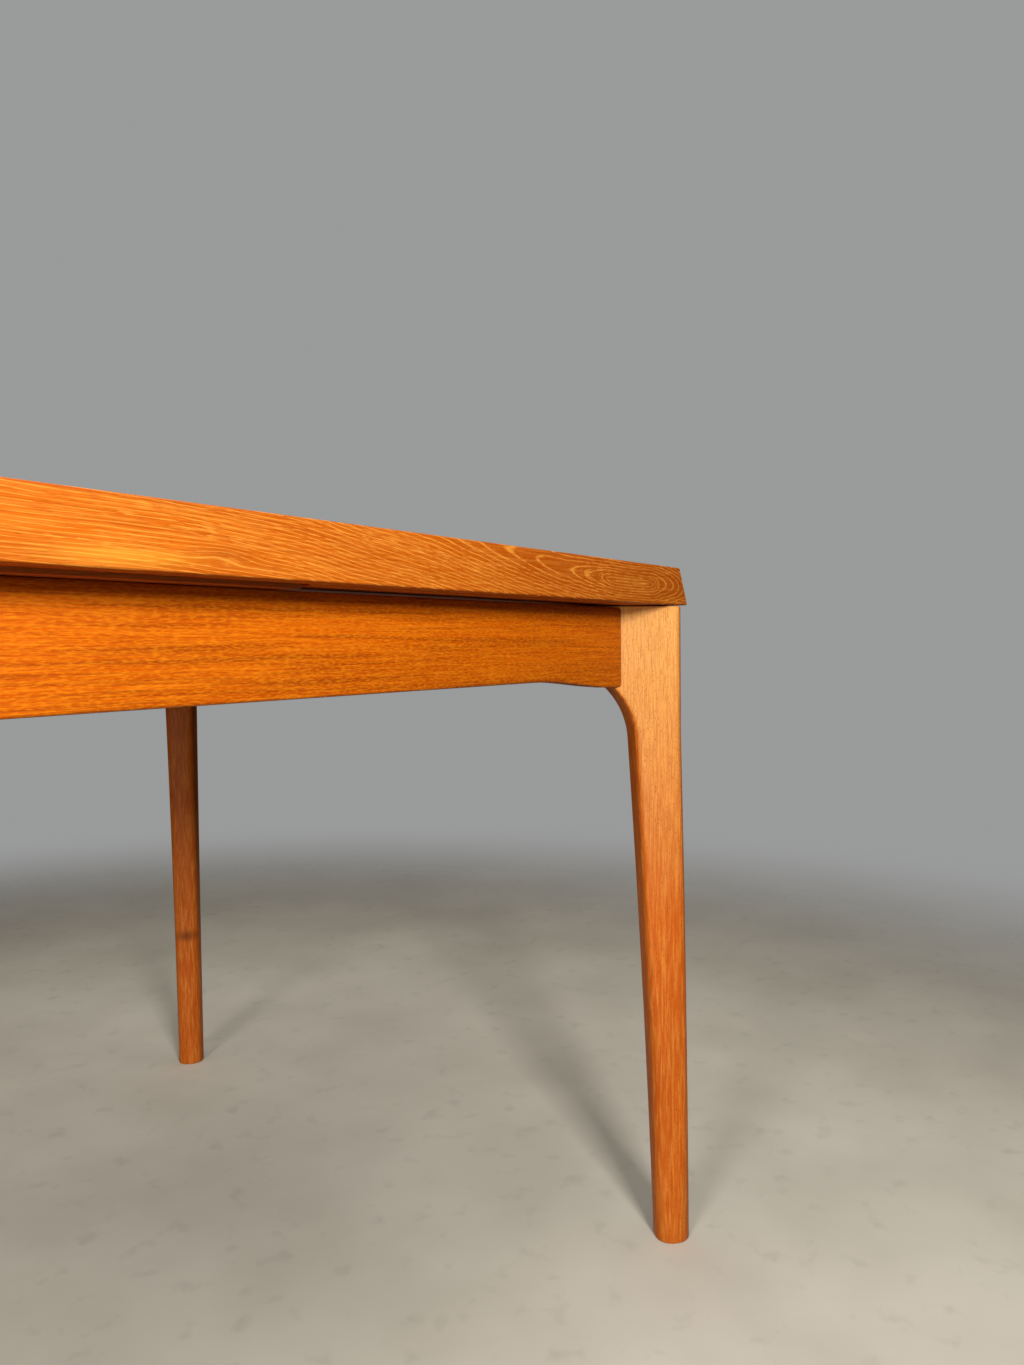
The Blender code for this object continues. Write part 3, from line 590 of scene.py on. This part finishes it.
# Leaves. One under each end of the main top: a veneered panel with solid teak lippings all round, the
# outer one the widest and leaning like the edge of the top above it.
for end, sign in (("right", 1), ("left", -1)):
    body = f"{end}_leaf"
    node = f"{end}_leaf_outer_lipping"
    low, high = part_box(node)
    rings = rounded_box(low, high, LOWER_ARRIS, axis=1, spans=END_SPANS)
    rings = lean_in(rings, low, high, sign)
    name = f"oiled_teak_{end}_leaf_end"
    paint = wood(name, LIPPING_TONES, LIPPING_CUT, ACROSS, (sign * 0.68, 0.66), 41.0 + sign)
    fit(add_mesh(f"teak_{node}", rings, paint), body, "teak_lipping", node)

    node = f"{end}_leaf_inner_lipping"
    name = f"oiled_teak_{end}_leaf_inner_end"
    paint = wood(name, LIPPING_TONES, LIPPING_CUT, ACROSS, (0.4, 0.66), 45.0 + sign)
    rings = rounded_box(*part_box(node), PLANED_ARRIS, axis=1)
    fit(add_mesh(f"teak_{node}", rings, paint), body, "teak_lipping", node)

    name = f"oiled_teak_{end}_leaf_side"
    paint = wood(name, LIPPING_TONES, LIPPING_CUT, (0, 0, 0), (0, 0.60), 51.0 + sign)
    for side in ("front", "back"):
        node = f"{end}_leaf_{side}_lipping"
        rings = rounded_box(*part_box(node), PLANED_ARRIS)
        fit(add_mesh(f"teak_{node}", rings, paint), body, "teak_lipping", node)

    node = f"{end}_leaf_panel"
    name = f"oiled_teak_veneer_{end}_leaf"
    paint = wood(name, PANEL_TONES, PANEL_CUT, (0, 0, 0), (0.07 + 0.01 * sign, 0.655), 61.0 + sign)
    rings = rounded_box(*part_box(node), PLANED_ARRIS)
    fit(add_mesh(f"teak_{node}", rings, paint), body, "teak_face", node)


def refinish(node, material):
    """A node whose own shape is right gets this finish."""
    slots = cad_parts[node].data.materials
    slots.clear()
    slots.append(material)


# Bearers and stops. Each leaf is screwed to two beech bearers that slide in the notches of the frame;
# a block glued under each stops the leaf at the end of its travel. The bearers keep their own shape,
# with the outer end chamfered below and the tail set down under the centre board.
STOP_ARRIS = 0.0012
bearer = wood("planed_beech_bearer", BEECH_TONES, BEECH_CUT, (0, 0, 0), (0.35, 0.50), 71.0, gloss=UNFINISHED)
stop = wood("planed_beech_stop", BEECH_TONES, BEECH_CUT, (0, 0, 0), (0.30, 0.40), 75.0, gloss=UNFINISHED)
for end in ("right", "left"):
    for side in ("front", "back"):
        refinish(f"{end}_leaf_{side}_bearer", bearer)
        node = f"{end}_leaf_{side}_stop"
        rings = rounded_box(*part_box(node), STOP_ARRIS)
        fit(add_mesh(f"beech_{node}", rings, stop), f"{end}_leaf", "beech", node)

# Centre board, cross rails and their screws. The board fills the gap between the stored leaves and is
# screwed down on the long aprons; the two beech rails under it carry the tails of the bearers.
board = wood("oiled_teak_veneer_board", PANEL_TONES, PANEL_CUT, (0, 0, 0), (0.07, 0.64), 81.0)
refinish("centre_board", board)
rail = wood("planed_beech_rail", BEECH_TONES, BEECH_CUT, ACROSS, (0.30, 0.45), 85.0, gloss=UNFINISHED)
for end in ("right", "left"):
    refinish(f"cross_rail_{end}", rail)

# Zinc-plated steel: grey and half bright, with a bloom about 1 mm across where the plating has dulled.
ZINC_DULL, ZINC_BRIGHT = "#8F908D", "#C6C7C3"
ZINC_BLOOM = 1 / 900
ZINC_RELIEF, ZINC_RELIEF_STRENGTH = 0.00005, 0.5
zinc, tree, shader = new_material("zinc_plated_steel", Metallic=1.0)
where = add_node(tree, "ShaderNodeTexCoord", output="Object")
bloom = {"Vector": where, "Scale": 1 / ZINC_BLOOM, "Detail": 3.0}
bloom = add_node(tree, "ShaderNodeTexNoise", bloom)
tone = {0: bloom, 6: colour(ZINC_DULL), 7: colour(ZINC_BRIGHT)}
tone = add_node(tree, "ShaderNodeMix", tone, 2, data_type="RGBA")
tree.links.new(tone, shader.inputs["Base Color"])
dull = add_node(tree, "ShaderNodeMapRange", {0: bloom, 3: 0.28, 4: 0.50})
tree.links.new(dull, shader.inputs["Roughness"])
pitted = {"Height": bloom, "Distance": ZINC_RELIEF, "Strength": ZINC_RELIEF_STRENGTH}
pitted = add_node(tree, "ShaderNodeBump", pitted)
tree.links.new(pitted, shader.inputs["Normal"])
for side in ("front", "back"):
    for end in ("right", "left"):
        refinish(f"board_screw_{side}_{end}", zinc)
        refinish(f"corner_bolt_{side}_{end}", zinc)

# Aprons. Solid teak boards, quarter-sawn, so the grain is fine and straight, with a curl across it. The
# lower arris is rounded and the edge falls towards the legs; the ends are mitred on the leg heads.
APRON_ARRIS = 0.0025
APRON_SPANS = 160
FALL = 0.0105
FALL_RUN = 0.164
MITRE_RUN = 0.030
NOTCH_GAP = 0.0008
NOTCH_PAST = 0.010
NOTCH_ARRIS = 0.0004
# Quarter-sawn teak is a deep orange with close dark threads, and the curl glints in pale bars.
APRON_TONES = dict(body="#D25C00", deep="#983C00", line="#7C2C00", pale="#EE8A10", pore="#6E2E01")
APRON_CUT = dict(
    ring=0.0024,
    drift=0.006,
    relief=0.8,
    tide=(-0.10, 0.30),
    mix=(
        ("tide", "deep", 0.22),
        ("cloud", "deep", 0.50),
        ("band", "deep", 0.15),
        ("fibre", "pale", 0.35),
        ("vein", "line", 0.55),
        ("thread", "deep", 0.45),
        ("curl", "pale", 0.38),
        ("pore", "pore", 0.15),
        ("worn", "pale", 0.35),
    ),
)
for name, axis in (("front", 0), ("back", 0), ("right", 1), ("left", 1)):
    node = f"apron_{name}"
    low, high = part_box(node)
    across = 1 - axis
    sign = 1 if low[across] + high[across] > 0 else -1
    reach = high[axis]
    bottom = low.z + FALL
    rings = rounded_box((low.x, low.y, bottom), high, APRON_ARRIS, axis=axis, spans=APRON_SPANS)
    distance = np.abs(rings[..., axis])
    t = np.clip((distance - (reach - FALL_RUN)) / FALL_RUN, 0, 1)
    fall = FALL * (1 - np.cos(np.pi * t)) / 2
    rings[..., 2] -= fall * (high.z - rings[..., 2]) / (high.z - bottom)
    outer = sign * max(abs(low[across]), abs(high[across]))
    depth = np.abs(outer - rings[..., across])
    near_end = np.clip((distance - (reach - MITRE_RUN)) / MITRE_RUN, 0, 1)
    rings[..., axis] -= np.sign(rings[..., axis]) * depth * near_end
    turn = ACROSS if axis else (0, 0, 0)
    seed = 91.0 + 3 * axis + sign
    paint = wood(f"oiled_teak_{name}_apron", APRON_TONES, APRON_CUT, turn, (-sign * 0.12, 0.95), seed)
    piece = add_mesh(f"teak_{node}", rings, paint)
    for side in ("front", "back") if axis else ():
        lane_low, lane_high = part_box(f"{name}_leaf_{side}_bearer")
        notch_low = (low.x - NOTCH_PAST, lane_low.y - NOTCH_GAP, lane_low.z - NOTCH_GAP)
        notch_high = (high.x + NOTCH_PAST, lane_high.y + NOTCH_GAP, high.z + NOTCH_PAST)
        notch = add_mesh("notch", rounded_box(notch_low, notch_high, NOTCH_ARRIS), paint)
        cut = piece.modifiers.new("notch", "BOOLEAN")
        cut.object = notch
        cut.solver = "EXACT"
        bpy.context.view_layer.update()
        evaluated = piece.evaluated_get(bpy.context.evaluated_depsgraph_get())
        piece.data = bpy.data.meshes.new_from_object(evaluated)
        piece.modifiers.clear()
        bpy.data.objects.remove(notch)
    fit(piece, "frame", "teak_face", node)

# Legs. Solid teak, set diagonally at the corners: a slim shaft with rounded corners that tapers to the
# foot, sweeps out in a haunch under the aprons, and ends in a head between their mitred ends.
LEG_INNER_FACE = (0.0408, 0.0261, 0.0306)
LEG_OUTER_FACE = (0.0038, 0.0090, 0.0139)
LEG_SIDE_FACE = (0.0183, -0.0037, 0.0143)
LEG_SHOULDER = 0.550
LEG_HEAD_INNER = 0.110
HAUNCH_RADIUS = 0.0765
FOOT_ARRIS = 0.0015
HEAD_ARRIS = 0.0006
FOOT_CORNER = 0.016
HEAD_CORNER = 0.009
HEAD_INNER_CORNER = 0.003
CORNER_TAPER_END = 0.490
LEG_SHARP = 40.0
SHAFT_LEVELS, HAUNCH_LEVELS, HEAD_LEVELS = 60, 24, 10
# Flat-sawn teak on slim legs: open pores show as short dark strokes on a warm, matt brown.
LEG_TONES = dict(
    # The head tone is partly paler wood and partly painted sheen and painted light.
    body="#C15B13", deep="#A8480A", head="#DFA154", pale="#F0A448", pore="#82380A", line="#93420E"
)
LEG_CUT = dict(
    ring=0.0036,
    drift=0.010,
    coarse=1.6,
    short=0.6,
    pore_size=(0.0045, 0.0018),
    mix=(
        ("cloud", "deep", 0.55),
        ("band", "deep", 0.25),
        ("vein", "deep", 0.35),
        ("line", "line", 0.40),
        ("fibre", "pale", 0.30),
        ("thread", "deep", 0.30),
        ("pore", "pore", 0.55),
        ("worn", "pale", 0.30),
    ),
)
# The head of the front right leg is paler on its broad face: partly a paler tone of the wood, partly painted
# sheen on the face turned to the lamps and painted light that grows towards the top.
PALE_AND_SHEEN_HEAD_CUT = dict(
    LEG_CUT,
    tide=(0.36, 0.68),
    facing=(-0.707, -0.707, 0.0),
    mix=(*LEG_CUT["mix"][:3], ("tide", "head", 0.90), *LEG_CUT["mix"][3:]),
)
# A knot low on the inner side of the back right leg, with a dark band and the grain curling round it.
KNOT_PLACE = (0.651, 0.401, 0.205)
KNOT_SIZE_TINT_SHARE_PUSH = (0.014, 0.026, "#5A2206", 0.80, 0.010)


def swell(terms, level):
    """A leg's face as a shallow curve: distance at the floor, lean, and growth of the lean."""
    return terms[0] + terms[1] * level + terms[2] * level**2


leg_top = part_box("leg_front_right")[1].z
quarter = np.linspace(0, np.pi / 2, ARC_STEPS)
foot = FOOT_ARRIS * (1 - np.cos(quarter))
shaft = np.linspace(FOOT_ARRIS, LEG_SHOULDER, SHAFT_LEVELS)[1:]
run = LEG_HEAD_INNER - swell(LEG_INNER_FACE, LEG_SHOULDER)
sweep = np.linspace(0, math.acos(1 - run / HAUNCH_RADIUS), HAUNCH_LEVELS)[1:]
haunch = LEG_SHOULDER + HAUNCH_RADIUS * np.sin(sweep)
head = np.linspace(haunch[-1], leg_top - HEAD_ARRIS, HEAD_LEVELS)[1:]
level = np.concatenate([foot, shaft, haunch, head, [leg_top]])
inset = np.zeros_like(level)
inset[:ARC_STEPS] = FOOT_ARRIS * (1 - np.sin(quarter))
inset[-1] = HEAD_ARRIS
above = np.clip(level - LEG_SHOULDER, 0, HAUNCH_RADIUS)
bulge = HAUNCH_RADIUS - np.sqrt(HAUNCH_RADIUS**2 - above**2)
bulge[level > haunch[-1]] = LEG_HEAD_INNER
held = np.minimum(level, LEG_SHOULDER)
inner = np.minimum(swell(LEG_INNER_FACE, level) + bulge, LEG_HEAD_INNER) - inset
outer = swell(LEG_OUTER_FACE, held) + inset
flank = swell(LEG_SIDE_FACE, held) - inset
slim = HEAD_CORNER + (FOOT_CORNER - HEAD_CORNER) * np.clip(1 - level / CORNER_TAPER_END, 0, None) ** 2
t = np.clip((level - LEG_SHOULDER) / (haunch[-1] - LEG_SHOULDER), 0, 1)
crisp = HEAD_CORNER + (HEAD_INNER_CORNER - HEAD_CORNER) * t
inner_corner = np.where(level > LEG_SHOULDER, crisp, slim)
corners = np.stack([inner_corner, slim, slim, inner_corner], axis=1)
leg = rounded_rings(level, outer, inner, -flank, flank, corners)
height, from_corner, sideways = np.moveaxis(leg, -1, 0)

for side, sign in (("front", -1), ("back", 1)):
    for end, way in (("right", 1), ("left", -1)):
        corner = f"{side}_{end}"
        x = way * (top_high.x - (from_corner + sideways) * math.sqrt(0.5))
        y = sign * (-outer_y - (from_corner - sideways) * math.sqrt(0.5))
        heading = Matrix.Rotation(-math.atan2(-sign, -way), 3, "Z")
        turn = Matrix.Rotation(math.pi / 2, 3, "Y") @ heading
        # Only the front right leg gets the paler head with its painted sheen and painted light.
        cut = PALE_AND_SHEEN_HEAD_CUT if corner == "front_right" else LEG_CUT
        knot = (*(turn @ Vector(KNOT_PLACE)), *KNOT_SIZE_TINT_SHARE_PUSH)
        spots = (knot,) if corner == "back_right" else ()
        name = f"oiled_teak_leg_{corner}"
        seed = 101.0 + 2 * sign + way
        paint = wood(name, LEG_TONES, cut, turn.to_euler(), (0.07, 0.30 * way), seed, spots=spots)
        piece = add_mesh(f"teak_leg_{corner}", np.stack([x, y, height], axis=-1), paint, LEG_SHARP)
        fit(piece, "frame", "teak_leg", f"leg_{corner}")

# Corner blocks. Beech, glued and screwed across the corner behind each leg head; the bolt through the
# block draws the leg into the mitre.
turn = (0, 0, math.pi / 4)
block = wood("planed_beech_block", BEECH_TONES, BEECH_CUT, turn, (0.2, 0.5), 111.0, gloss=UNFINISHED)
for side in ("front", "back"):
    for end in ("right", "left"):
        refinish(f"corner_block_{side}_{end}", block)
